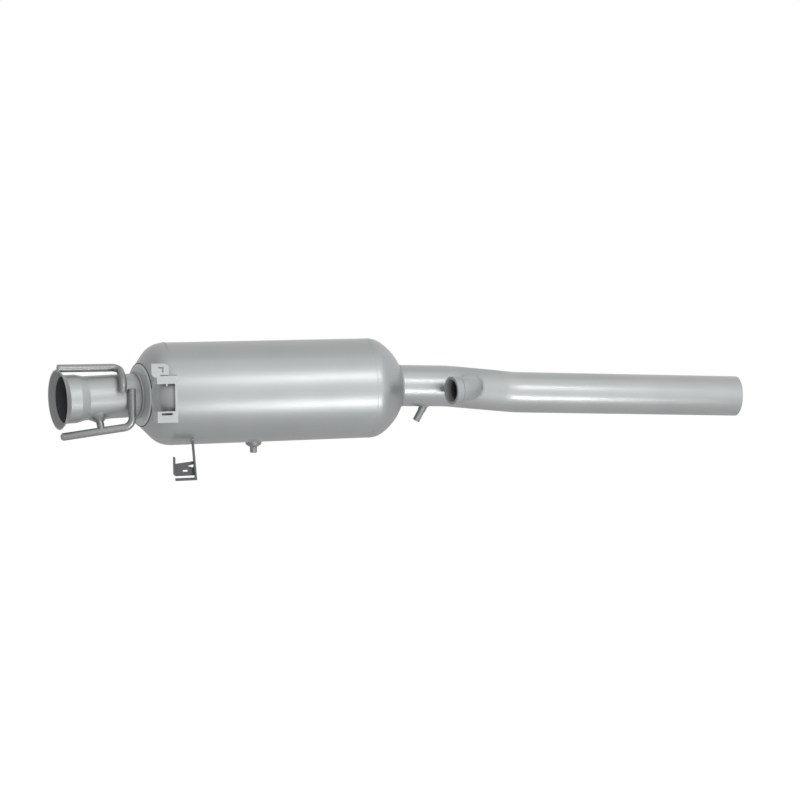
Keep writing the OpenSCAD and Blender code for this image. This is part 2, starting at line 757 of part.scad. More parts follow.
module rear_tap() {
  color("gray") in_frame() difference() {
    along(rear_tap_foot, rear_tap_dir) rotate_extrude() polygon([[tap_bore / 2, pipe_r / 2],
      [rear_tap_root_d / 2, pipe_r / 2], [rear_tap_root_d / 2, rear_tap_root], [tap_d / 2, rear_tap_root],
      [tap_d / 2, rear_tap_length - tap_chamfer], [tap_d / 2 - tap_chamfer, rear_tap_length],
      [tap_bore / 2, rear_tap_length]]);
    along(outlet_from, run_1_dir) cylinder(r = pipe_r, h = run_1);
  }
}

module branch_pipe() {
  color("silver") in_frame() difference() {
    bent(branch_path, [branch_bend], branch_d / 2, branch_d / 2 - branch_wall);
    along(outlet_turn_1, run_2_dir) cylinder(r = pipe_r, h = run_2);
  }
}

module branch_collar() {
  color("gainsboro") in_frame() along(branch_mouth, branch_in) difference() {
    cylinder(d = branch_collar_d, h = branch_collar_length);
    translate([0, 0, -over]) cylinder(d = branch_d, h = branch_collar_length + 2 * over);
  }
}

module outlet_stud() {
  tip = pipe_r + stud_out;
  color("gray") in_frame() difference() {
    along(outlet_from + stud_at * run_1_dir, [0, -1, 0]) rotate_extrude() polygon([[0, pipe_r / 2],
      [stud_d / 2, pipe_r / 2], [stud_d / 2, tip - stud_chamfer], [stud_d / 2 - stud_chamfer, tip],
      [0, tip]]);
    along(outlet_from, run_1_dir) cylinder(r = pipe_r, h = run_1);
  }
}

module outlet_pipe() {
  color("silver") in_frame() difference() {
    bent(outlet_path, [outlet_bend, outlet_bend], pipe_r, pipe_r - pipe_wall);
    along(branch_path[1], branch_root) cylinder(r = branch_d / 2 - branch_wall, h = branch_out);
    along(rear_tap_foot, rear_tap_dir) cylinder(d = tap_bore, h = pipe_d);
  }
}

module catalyst() {
  color("tan") in_frame() translate([catalyst_at, 0, 0]) rotate([0, 90, 0]) difference() {
    cylinder(r = brick_r, h = catalyst_length);
    translate([0, 0, -over]) linear_extrude(catalyst_length + 2 * over) cells(-1);
  }
}

module catalyst_mat() {
  color("white") in_frame() shell_ring(catalyst_at + seal_w, catalyst_length - 2 * seal_w, brick_r);
}

module filter() {
  color("tan") in_frame() translate([filter_at, 0, 0]) rotate([0, 90, 0]) difference() {
    cylinder(r = brick_r, h = filter_length);
    translate([0, 0, -over]) linear_extrude(filter_length - plug_depth + over) cells(0);
    translate([0, 0, plug_depth]) linear_extrude(filter_length - plug_depth + over) cells(1);
  }
}

module filter_mat() {
  color("white") in_frame() shell_ring(filter_at + seal_w, filter_length - 2 * seal_w, brick_r);
}

module catalyst_ring_front() {
  color("gray") in_frame() shell_ring(catalyst_at, seal_w, brick_r);
}

module catalyst_ring_rear() {
  color("gray") in_frame() shell_ring(catalyst_at + catalyst_length - seal_w, seal_w, brick_r);
}

module filter_ring_front() {
  color("gray") in_frame() shell_ring(filter_at, seal_w, brick_r);
}

module filter_ring_rear() {
  color("gray") in_frame() shell_ring(filter_at + filter_length - seal_w, seal_w, brick_r);
}

inlet_pipe();
inlet_neck();
inlet_collar();
inlet_cap();
upper_rod();
lower_rod();
rod_post();
sensor_bracket();
hanger_bar();
hanger_plate();
can_shell();
front_tap();
outlet_cap();
rear_tap();
branch_pipe();
branch_collar();
outlet_stud();
outlet_pipe();
catalyst();
catalyst_mat();
filter();
filter_mat();
catalyst_ring_front();
catalyst_ring_rear();
filter_ring_front();
filter_ring_rear();
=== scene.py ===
"""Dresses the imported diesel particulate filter: steel finishes, weld beads and a plain white studio."""
import json
import math

import bmesh
import bpy
from bpy.props import FloatProperty, FloatVectorProperty, IntProperty, PointerProperty
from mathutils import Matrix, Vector
from mathutils.bvhtree import BVHTree


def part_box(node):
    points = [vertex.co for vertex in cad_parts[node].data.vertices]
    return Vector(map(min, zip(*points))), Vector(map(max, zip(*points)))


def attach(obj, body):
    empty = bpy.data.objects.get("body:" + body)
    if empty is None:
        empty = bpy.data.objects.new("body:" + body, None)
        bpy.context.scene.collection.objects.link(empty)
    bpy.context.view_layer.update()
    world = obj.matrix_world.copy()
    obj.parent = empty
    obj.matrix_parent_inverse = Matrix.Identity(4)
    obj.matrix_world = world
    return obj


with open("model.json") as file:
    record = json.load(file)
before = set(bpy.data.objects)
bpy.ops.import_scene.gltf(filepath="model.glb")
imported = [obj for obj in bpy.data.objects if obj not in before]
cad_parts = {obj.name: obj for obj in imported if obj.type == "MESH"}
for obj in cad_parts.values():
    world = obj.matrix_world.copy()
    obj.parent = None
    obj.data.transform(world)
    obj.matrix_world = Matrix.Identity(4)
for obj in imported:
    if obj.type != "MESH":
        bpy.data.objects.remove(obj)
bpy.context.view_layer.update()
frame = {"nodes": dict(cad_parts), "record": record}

bl_info = {
    "name": "Diesel particulate filter",
    "version": (1, 0, 0),
    "blender": (4, 5, 0),
    "location": "View3D > Sidebar > Filter",
    "description": "Gives the filter its steel finishes, its weld beads and a studio",
    "category": "Object",
}

MM = 0.001
NODES = frame["nodes"]
MOUNTS = {mount["name"]: mount for mount in frame["record"]["mounts"]}


def linear(hex_colour):
    """A colour written as sRGB hex, as linear RGB."""
    parts = [int(hex_colour[i:i + 2], 16) / 255 for i in (0, 2, 4)]
    return tuple(c / 12.92 if c <= 0.04045 else ((c + 0.055) / 1.055) ** 2.4 for c in parts)


def add(tree, kind, inputs=None, **settings):
    """Adds a node with its settings, and sets or links its inputs."""
    node = tree.nodes.new(kind)
    for name, value in settings.items():
        setattr(node, name, value)
    for key, value in (inputs or {}).items():
        if isinstance(value, bpy.types.NodeSocket):
            tree.links.new(value, node.inputs[key])
        else:
            node.inputs[key].default_value = value
    return node


def rgba(colour):
    """A linear colour with full alpha."""
    return (*colour, 1.0)


def empty_material(name):
    """A material with an empty node tree."""
    material = bpy.data.materials.new(name)
    material.use_nodes = True
    material.node_tree.nodes.clear()
    return material


def dress(material, slot, *nodes):
    """Gives CAD nodes a material; slot is not used."""
    for name in nodes:
        NODES[name].data.materials.clear()
        NODES[name].data.materials.append(material)


# Finishes

# Width and depth of the pits in blasted or drawn steel, wider than real ones so that they show
GRAIN = 0.8 * MM
PIT = 0.002 * MM
# Length and width of the streaks that drawing leaves, wider than real ones so that they show
STREAK = (70 * MM, 1.6 * MM, 1.6 * MM)
# Uneven tone over a hand's breadth, as blasting and handling leave it
TONE = 80 * MM
# How far tone and roughness go up and down
UNEVEN = 0.03
# Most values of a noise texture lie between these
NOISE = {"From Min": 0.3, "From Max": 0.7}
# Cosine between a wall's normal and the way out from the axis, where the bore with its painted shade begins
# and where it is full
INWARD = {"From Min": -0.5, "From Max": -0.9}
# Place along a mount's axis, from its point, where the painted shade deep in the bore begins and where it
# is full
SOOT = {"From Min": -1 * MM, "From Max": -5 * MM}
# Distance from the middle of a dressed patch where it begins and where it is full
PATCH = {"From Min": 56 * MM, "From Max": 40 * MM}
# Roughness of the bores and of a dressed patch
MATT = 0.6


class FilterFinish(bpy.types.PropertyGroup):
    """Colours and roughness of the finishes"""
    sheet: FloatVectorProperty(
        name="Can sheet", description="Colour of the can and its caps",
        subtype="COLOR", default=linear("A5A8A8"))
    # Painted light: the collar is lighter than the sheet to lift the dim reflection that its face catches
    collar: FloatVectorProperty(
        name="Inlet collar", description="Colour of the collar around the inlet's neck",
        subtype="COLOR", default=linear("C6C9C9"))
    tube: FloatVectorProperty(
        name="Tubes", description="Colour of the inlet and outlet tubes",
        subtype="COLOR", default=linear("A8ABAB"))
    branch: FloatVectorProperty(
        name="Branch", description="Colour of the swept branch",
        subtype="COLOR", default=linear("A8ABAB"))
    ring: FloatVectorProperty(
        name="Branch collar", description="Colour of the collar around the branch's mouth",
        subtype="COLOR", default=linear("A6A9A9"))
    # Painted shade: the inside near the mouths is darker than the tube, standing in for the shade in the
    # bore
    bore: FloatVectorProperty(
        name="Bores", description="Colour of the scaled inside of the inlet and outlet near their mouths",
        subtype="COLOR", default=linear("6A6C6E"))
    # Painted shade: darker still further into the tubes, where less light reaches
    soot: FloatVectorProperty(
        name="Soot", description="Colour of the tubes' inside further in",
        subtype="COLOR", default=linear("626466"))
    bar: FloatVectorProperty(
        name="Rods", description="Colour of the rods and the post",
        subtype="COLOR", default=linear("8E9090"))
    tap: FloatVectorProperty(
        name="Tappings", description="Colour of the tappings and the stud",
        subtype="COLOR", default=linear("909292"))
    bracket: FloatVectorProperty(
        name="Bracket", description="Colour of the sensor bracket",
        subtype="COLOR", default=linear("B3B6B6"))
    # Painted shade: the hanger is dark grey because it stands in shade
    hanger: FloatVectorProperty(
        name="Hanger", description="Colour of the hanger bar and plate",
        subtype="COLOR", default=linear("5A5B5E"))
    weld: FloatVectorProperty(
        name="Weld", description="Colour of the weld beads",
        subtype="COLOR", default=linear("A0A3A3"))
    # Painted shade: the dark colour of these welds stands in for the shadow in the gap at a joint
    tint: FloatVectorProperty(
        name="Heat tint", description="Colour of the thin welds that stay heat-tinted",
        subtype="COLOR", default=linear("54565A"))
    sheet_roughness: FloatProperty(
        name="Sheet roughness", description="Roughness of the blasted can sheet",
        default=0.38, min=0, max=1)
    outlet_roughness: FloatProperty(
        name="Outlet roughness", description="Roughness of the outlet's drawn tube",
        default=0.34, min=0, max=1)
    inlet_roughness: FloatProperty(
        name="Inlet roughness", description="Roughness of the inlet's expanded tube",
        default=0.46, min=0, max=1)
    branch_roughness: FloatProperty(
        name="Branch roughness", description="Roughness of the swept branch",
        default=0.5, min=0, max=1)
    film: FloatProperty(
        name="Film", description="Share of the light that a dull oxide film on the steel scatters",
        default=0.25, min=0, max=1)


def steel(name, colour, roughness, depth=PIT, grain=GRAIN, draw=None, bore=None, dressed=None):
    """A bare steel finish: uneven tone, fine grain, drawing lines along a tube and a dark bore.

    depth and grain are the depth and width of the pits, draw is the direction of the drawing lines,
    bore is a point and a direction of the tube's axis and the painted shade colour inside near its mouth,
    and dressed is the middle of a matt patch where a weld was dressed.
    """
    finish = bpy.context.scene.filter_finish
    material = empty_material(name)
    tree = material.node_tree
    place = add(tree, "ShaderNodeTexCoord")
    spots = place.outputs["Object"]
    tone = add(tree, "ShaderNodeTexNoise", {"Vector": spots, "Scale": 1 / TONE, "Detail": 3.0})
    shade = add(tree, "ShaderNodeMapRange", {
        "Value": tone.outputs["Fac"], **NOISE, "To Min": 1 - UNEVEN, "To Max": 1 + UNEVEN})
    base = add(tree, "ShaderNodeVectorMath", {
        0: colour[:3], 1: shade.outputs[0]}, operation="MULTIPLY").outputs[0]
    grit = add(tree, "ShaderNodeTexNoise", {"Vector": spots, "Scale": 1 / grain, "Detail": 2.0})
    polish = grit.outputs["Fac"]
    if draw:
        turn = Vector(draw).to_track_quat("X", "Z").to_euler()
        stretch = add(tree, "ShaderNodeMapping", {
            "Vector": spots, "Rotation": turn, "Scale": STREAK}, vector_type="TEXTURE")
        streaks = add(tree, "ShaderNodeTexNoise", {
            "Vector": stretch.outputs[0], "Scale": 1.0, "Detail": 1.0})
        polish = streaks.outputs["Fac"]
    rough = add(tree, "ShaderNodeMapRange", {
        "Value": polish, **NOISE, "To Min": roughness - UNEVEN, "To Max": roughness + UNEVEN}).outputs[0]
    if dressed:
        away = add(tree, "ShaderNodeVectorMath", {0: spots, 1: dressed}, operation="DISTANCE")
        patch = add(tree, "ShaderNodeMapRange", {"Value": away.outputs["Value"], **PATCH})
        rough = add(tree, "ShaderNodeMix", {0: patch.outputs[0], 2: rough, 3: MATT}).outputs[0]
    if bore:
        # Painted shade: the wall that faces the tube's axis is darkened, more so further in
        point, axis, near = bore
        arm = add(tree, "ShaderNodeVectorMath", {0: spots, 1: point}, operation="SUBTRACT")
        across = add(tree, "ShaderNodeVectorMath", {0: axis, 1: arm.outputs[0]}, operation="CROSS_PRODUCT")
        out = add(tree, "ShaderNodeVectorMath", {0: across.outputs[0], 1: axis}, operation="CROSS_PRODUCT")
        unit = add(tree, "ShaderNodeVectorMath", {0: out.outputs[0]}, operation="NORMALIZE")
        facing = add(tree, "ShaderNodeVectorMath", {0: unit.outputs[0], 1: place.outputs["Normal"]},
                     operation="DOT_PRODUCT")
        inside = add(tree, "ShaderNodeMapRange", {"Value": facing.outputs["Value"], **INWARD})
        depth_in = add(tree, "ShaderNodeVectorMath", {0: arm.outputs[0], 1: axis}, operation="DOT_PRODUCT")
        deep = add(tree, "ShaderNodeMapRange", {"Value": depth_in.outputs["Value"], **SOOT})
        dark = add(tree, "ShaderNodeMix", {
            0: deep.outputs[0], 4: near[:3], 5: finish.soot[:3]}, data_type="VECTOR").outputs[1]
        base = add(tree, "ShaderNodeMix", {
            0: inside.outputs[0], 4: base, 5: dark}, data_type="VECTOR").outputs[1]
        rough = add(tree, "ShaderNodeMix", {0: inside.outputs[0], 2: rough, 3: MATT}).outputs[0]
    bump = add(tree, "ShaderNodeBump", {"Height": grit.outputs["Fac"], "Distance": depth})
    shader = add(tree, "ShaderNodeBsdfPrincipled", {
        "Base Color": base, "Metallic": 1 - finish.film, "Roughness": rough, "Normal": bump.outputs[0]})
    add(tree, "ShaderNodeOutputMaterial", {"Surface": shader.outputs[0]})
    return material


def axis_of(mount):
    """The point and direction of a mount's axis."""
    return MOUNTS[mount]["pos_m"], MOUNTS[mount]["axis"]


class FilterCan(bpy.types.Operator):
    """Gives the can, its caps and the collar their blasted stainless sheet"""
    bl_idname = "filter_part.can"
    bl_label = "Can"

    def execute(self, context):
        finish = context.scene.filter_finish
        # Stainless sheet, glass-bead blasted: an even satin grey with soft, wide highlights
        sheet = steel("blasted_stainless_sheet", finish.sheet, finish.sheet_roughness)
        dress(sheet, "can_sheet", "can_shell", "inlet_cap", "outlet_cap")
        # Stamped ring, matt; painted lighter than the sheet to lift the dim reflection that its face
        # catches
        stamped = steel("stamped_stainless_ring", finish.collar, roughness=0.55)
        dress(stamped, "can_sheet", "inlet_collar")
        return {"FINISHED"}


class FilterTubes(bpy.types.Operator):
    """Gives the inlet, outlet and branch tubes their drawn steel, dark in the bores"""
    bl_idname = "filter_part.tubes"
    bl_label = "Tubes"

    def execute(self, context):
        finish = context.scene.filter_finish
        # The weld at the branch's root was dressed, which left a matt patch on the outlet
        low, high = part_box("branch_pipe")
        root = (high.x, high.y, (low.z + high.z) / 2)
        # Drawn and bent stainless tube: brighter streaks along the tube, painted shade inside
        for mount, colour, near, roughness, dressed, nodes in (
                ("inlet_socket", finish.tube, finish.bore, finish.inlet_roughness, None,
                 ["inlet_pipe", "inlet_neck"]),
                ("outlet_spigot", finish.tube, finish.bore, finish.outlet_roughness, root,
                 ["outlet_pipe"]),
                ("branch_mouth", finish.branch, finish.branch, finish.branch_roughness, None,
                 ["branch_pipe"])):
            point, axis = axis_of(mount)
            tube = steel("drawn_stainless_tube_" + mount, colour, roughness,
                         draw=axis, bore=(point, axis, near), dressed=dressed)
            dress(tube, "tube_steel", *nodes)
        # Turned ring: even and matt
        ring = steel("turned_stainless_ring", finish.ring, finish.branch_roughness)
        dress(ring, "bracket_steel", "branch_collar")
        return {"FINISHED"}


class FilterFittings(bpy.types.Operator):
    """Gives the rods, tappings, bracket and hanger their finishes"""
    bl_idname = "filter_part.fittings"
    bl_label = "Fittings"

    def execute(self, context):
        finish = context.scene.filter_finish
        # Drawn bar: dark, with a bright line along its crown
        bar = steel("drawn_bar", finish.bar, roughness=0.28, depth=0.0008 * MM)
        dress(bar, "rod_steel", "upper_rod", "lower_rod", "rod_post")
        # Turned and pickled fittings: duller than the tubes
        tap = steel("pickled_turned_bar", finish.tap, roughness=0.5, depth=0.003 * MM)
        dress(tap, "rod_steel", "front_tap", "rear_tap", "outlet_stud")
        # Zinc-flake coated sheet: pale, matt and even
        zinc = steel("zinc_flake_sheet", finish.bracket, roughness=0.5, depth=0.004 * MM, grain=0.6 * MM)
        dress(zinc, "bracket_steel", "sensor_bracket")
        # Dark grey strip, painted shade for the shadow it stands in; crystalline and matt
        strip = steel("phosphated_strip", finish.hanger, roughness=0.5, depth=0.01 * MM)
        dress(strip, "hanger_steel", "hanger_bar", "hanger_plate")
        return {"FINISHED"}


def powder(name, hex_colour, grain, depth, roughness):
    """A matt material with uneven tone, its grain coarser than real so that it shows."""
    material = empty_material(name)
    tree = material.node_tree
    place = add(tree, "ShaderNodeTexCoord")
    grit = add(tree, "ShaderNodeTexNoise", {
        "Vector": place.outputs["Object"], "Scale": 1 / grain, "Detail": 4.0})
    shade = add(tree, "ShaderNodeMapRange", {
        "Value": grit.outputs["Fac"], **NOISE, "To Min": 0.85, "To Max": 1.1})
    tinted = add(tree, "ShaderNodeVectorMath", {
        0: linear(hex_colour), 1: shade.outputs[0]}, operation="MULTIPLY")
    bump = add(tree, "ShaderNodeBump", {"Height": grit.outputs["Fac"], "Distance": depth})
    shader = add(tree, "ShaderNodeBsdfPrincipled", {
        "Base Color": tinted.outputs[0], "Roughness": roughness, "Normal": bump.outputs[0]})
    add(tree, "ShaderNodeOutputMaterial", {"Surface": shader.outputs[0]})
    return material


class FilterCore(bpy.types.Operator):
    """Gives the bricks, mats and seals inside the can their materials"""
    bl_idname = "filter_part.core"
    bl_label = "Core"

    def execute(self, context):
        # Fired ceramic: matt and porous, tan
        brick = powder("fired_cordierite", "A58D6E", grain=1.2 * MM, depth=0.1 * MM, roughness=0.9)
        dress(brick, "brick_ceramic", "catalyst", "filter")
        # Intumescent mat: pale fibres with flecks of mica
        mat = powder("fibre_mat", "D9D5C8", grain=3 * MM, depth=0.5 * MM, roughness=0.95)
        dress(mat, "fibre_mat", "catalyst_mat", "filter_mat")
        # Knitted stainless wire, rolled to a ring
        mesh = steel("knitted_wire", linear("8C8C8C"), roughness=0.45, depth=0.15 * MM)
        dress(mesh, "seal_mesh",
              "catalyst_ring_front", "catalyst_ring_rear", "filter_ring_front", "filter_ring_rear")
        return {"FINISHED"}


# Weld beads

# Corners of a mesh that lie this near are one
MERGE = 0.01 * MM
# A corner that lies this near to another piece is on it
TOUCH = 0.4 * MM
# An edge is sharp where its faces turn by more than this
SHARP = math.radians(20)
# A run whose ends lie this near is closed
CLOSED = 0.1 * MM


class FilterWeld(bpy.types.PropertyGroup):
    """Sizes of the weld beads"""
    bead: FloatProperty(
        name="Bead", description="Radius of a bead in a corner between two pieces",
        unit="LENGTH", default=1.7 * MM, min=0.2 * MM)
    neck_bead: FloatProperty(
        name="Neck bead", description="Radius of the bead between the neck and its collar",
        unit="LENGTH", default=3 * MM, min=0.2 * MM)
    # The thin bead carries the painted shade of the gap between the inlet collar and the cap
    thin_bead: FloatProperty(
        name="Thin bead", description="Radius of a thin, heat-tinted weld",
        unit="LENGTH", default=0.8 * MM, min=0.2 * MM)
    small_bead: FloatProperty(
        name="Small bead", description="Radius of a bead around a small piece",
        unit="LENGTH", default=1.0 * MM, min=0.2 * MM)
    proud: FloatProperty(
        name="Seam height", description="Height of a flush butt seam over the sheet",
        unit="LENGTH", default=0.12 * MM, min=0)
    pitch: FloatProperty(
        name="Ripple pitch", description="Length of one ripple along a bead",
        unit="LENGTH", default=1.8 * MM, min=0.5 * MM)
    ripple: FloatProperty(
        name="Ripple", description="Height of the ripples, as a share of the bead's radius",
        default=0.1, min=0, max=0.5)
    seed: IntProperty(name="Seed", description="Seed of the uneven bead width", default=7)


def length(run):
    """The length of a run of points."""
    return sum((q - p).length for p, q in zip(run, run[1:]))


def onward(chain, free):
    """The free edge that carries a chain of vertices straightest on, if there is one."""
    end = chain[-1]
    ahead = (end.co - chain[-2].co).normalized()
    return max((e for e in end.link_edges if e in free), default=None,
               key=lambda e: ahead.dot((e.other_vert(end).co - end.co).normalized()))


def seams(name, carrier):
    """The sharp edges of a CAD node that lie on another, as runs of points, longest first."""
    work = bmesh.new()
    work.from_mesh(NODES[name].data)
    bmesh.ops.remove_doubles(work, verts=work.verts, dist=MERGE)
    mesh = NODES[carrier].data
    under = BVHTree.FromPolygons([v.co for v in mesh.vertices], [p.vertices for p in mesh.polygons])
    touch = {v for v in work.verts if under.find_nearest(v.co, TOUCH)[0]}
    # A dictionary, because it keeps the mesh's order and so gives the same runs each time
    free = dict.fromkeys(
        e for e in work.edges if touch.issuperset(e.verts) and len(e.link_faces) == 2
        and e.calc_face_angle() > SHARP)
    runs = []
    while free:
        edge, _ = free.popitem()
        chain = list(edge.verts)
        for _ in range(2):
            while chain[0] != chain[-1]:
                more = onward(chain, free)
                if not more:
                    break
                del free[more]
                chain.append(more.other_vert(chain[-1]))
            chain.reverse()
        runs.append([v.co.copy() for v in chain])
    work.free()
    if not runs:
        raise RuntimeError("no seam between %s and %s" % (name, carrier))
    return sorted(runs, key=length, reverse=True)


def bead_tree():
    """Geometry nodes that lay a rippled bead along the edges of a mesh."""
    tree = bpy.data.node_groups.new("weld_bead", "GeometryNodeTree")
    face = tree.interface
    face.new_socket("Path", in_out="INPUT", socket_type="NodeSocketGeometry")
    for name in ("Radius", "Pitch", "Ripple"):
        face.new_socket(name, in_out="INPUT", socket_type="NodeSocketFloat")
    face.new_socket("Seed", in_out="INPUT", socket_type="NodeSocketInt")
    face.new_socket("Metal", in_out="INPUT", socket_type="NodeSocketMaterial")
    face.new_socket("Bead", in_out="OUTPUT", socket_type="NodeSocketGeometry")
    given = add(tree, "NodeGroupInput").outputs
    curve = add(tree, "GeometryNodeMeshToCurve", {0: given["Path"]})
    # Four points to a ripple
    step = add(tree, "ShaderNodeMath", {0: given["Pitch"], 1: 1 / 4}, operation="MULTIPLY")
    even = add(tree, "GeometryNodeResampleCurve", {
        "Curve": curve.outputs[0], "Length": step.outputs[0]}, mode="LENGTH")
    run = add(tree, "GeometryNodeSplineParameter")
    turns = add(tree, "ShaderNodeMath", {0: run.outputs["Length"], 1: given["Pitch"]}, operation="DIVIDE")
    angle = add(tree, "ShaderNodeMath", {0: turns.outputs[0], 1: math.tau}, operation="MULTIPLY")
    wave = add(tree, "ShaderNodeMath", {0: angle.outputs[0]}, operation="SINE")
    uneven = add(tree, "FunctionNodeRandomValue", {
        "Min": -0.5, "Max": 0.5, "Seed": given["Seed"]}, data_type="FLOAT")
    both = add(tree, "ShaderNodeMath", {0: wave.outputs[0], 1: uneven.outputs["Value"]}, operation="ADD")
    swell = add(tree, "ShaderNodeMath", {
        0: both.outputs[0], 1: given["Ripple"], 2: 1.0}, operation="MULTIPLY_ADD")
    thick = add(tree, "ShaderNodeMath", {0: swell.outputs[0], 1: given["Radius"]}, operation="MULTIPLY")
    ring = add(tree, "GeometryNodeCurvePrimitiveCircle", {"Resolution": 10, "Radius": 1.0})
    bead = add(tree, "GeometryNodeCurveToMesh", {
        "Curve": even.outputs[0], "Profile Curve": ring.outputs["Curve"],
        "Scale": thick.outputs[0], "Fill Caps": True})
    smooth = add(tree, "GeometryNodeSetShadeSmooth", {"Geometry": bead.outputs[0]})
    real = add(tree, "GeometryNodeRealizeInstances", {"Geometry": smooth.outputs[0]})
    dressed = add(tree, "GeometryNodeSetMaterial", {
        "Geometry": real.outputs[0], "Material": given["Metal"]})
    add(tree, "NodeGroupOutput", {"Bead": dressed.outputs[0]})
    return tree


class FilterWelds(bpy.types.Operator):
    """Lays the weld beads along the joints between the pieces"""
    bl_idname = "filter_part.welds"
    bl_label = "Welds"

    def execute(self, context):
        weld, finish = context.scene.filter_weld, context.scene.filter_finish
        self.tree = bead_tree()
        # Weld metal, blasted with the rest: a little darker and duller than the sheet
        metal = steel("blasted_weld_metal", finish.weld, roughness=0.42, depth=0.004 * MM)
        # Thin dark welds: painted shade, standing in for the shadow in the gap where the pieces meet
        tinted = steel("heat_tinted_weld_metal", finish.tint, roughness=0.5, depth=0.004 * MM)
        # Where a piece meets its carrier in two rings, the bead lies on the one towards this side
        left, right = (-1, 0, 0), (1, 0, 0)
        for piece, carrier, radius, toward, made in (
                ("outlet_cap", "outlet_pipe", weld.bead, right, metal),
                ("inlet_collar", "inlet_neck", weld.neck_bead, left, metal),
                ("inlet_collar", "inlet_cap", weld.thin_bead, None, tinted),
                ("branch_pipe", "outlet_pipe", weld.bead, None, metal),
                ("branch_collar", "branch_pipe", weld.bead, right, tinted),
                ("rear_tap", "outlet_pipe", weld.small_bead, None, metal),
                ("outlet_stud", "outlet_pipe", weld.small_bead, None, metal),
                ("front_tap", "can_shell", weld.small_bead, None, metal),
                ("hanger_bar", "can_shell", weld.small_bead, None, metal),
                ("rod_post", "inlet_pipe", weld.small_bead, None, metal),
                ("upper_rod", "inlet_pipe", weld.small_bead, None, metal),
                ("lower_rod", "inlet_pipe", weld.small_bead, None, metal)):
            runs = seams(piece, carrier)
            if toward:
                longest = length(runs[0])
                runs = [run for run in runs if length(run) > longest / 2]
                runs.sort(key=lambda run: -sum(run, Vector()).dot(Vector(toward)) / len(run))
            self.lay(context, "weld_%s_%s" % (piece, carrier), runs[0], radius, made)
        # Flush butt seams: the longest run of each, sunk so that little of the bead shows
        for piece, carrier in (
                ("inlet_cap", "can_shell"), ("outlet_cap", "can_shell"), ("inlet_pipe", "inlet_neck")):
            run = seams(piece, carrier)[0]
            middle = sum(run, Vector()) / len(run)
            sunk = [p - (p - middle).normalized() * (weld.bead - weld.proud) for p in run]
            self.lay(context, "seam_%s_%s" % (piece, carrier), sunk, weld.bead, metal)
        return {"FINISHED"}

    def lay(self, context, name, run, radius, metal):
        """Lays one bead along a run of points."""
        weld = context.scene.filter_weld
        closed = (run[0] - run[-1]).length < CLOSED
        points = run[:-1] if closed else run
        edges = [(i, i + 1) for i in range(len(points) - 1)]
        if closed:
            edges.append((len(points) - 1, 0))
        mesh = bpy.data.meshes.new(name)
        mesh.from_pydata(points, edges, [])
        path = bpy.data.objects.new(name + "_path", mesh)
        context.scene.collection.objects.link(path)
        modifier = path.modifiers.new("Weld bead", "NODES")
        modifier.node_group = self.tree
        values = {
            "Radius": radius, "Pitch": weld.pitch, "Ripple": weld.ripple, "Seed": weld.seed, "Metal": metal}
        for item in self.tree.interface.items_tree:
            if item.name in values:
                modifier[item.identifier] = values[item.name]
        shaped = path.evaluated_get(context.evaluated_depsgraph_get())
        bead = bpy.data.objects.new(name, bpy.data.meshes.new_from_object(shaped))
        bpy.data.objects.remove(path)
        context.scene.collection.objects.link(bead)
        if not bead.data.polygons:
            raise RuntimeError("no bead along " + name)
        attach(bead, "root")


# Studio

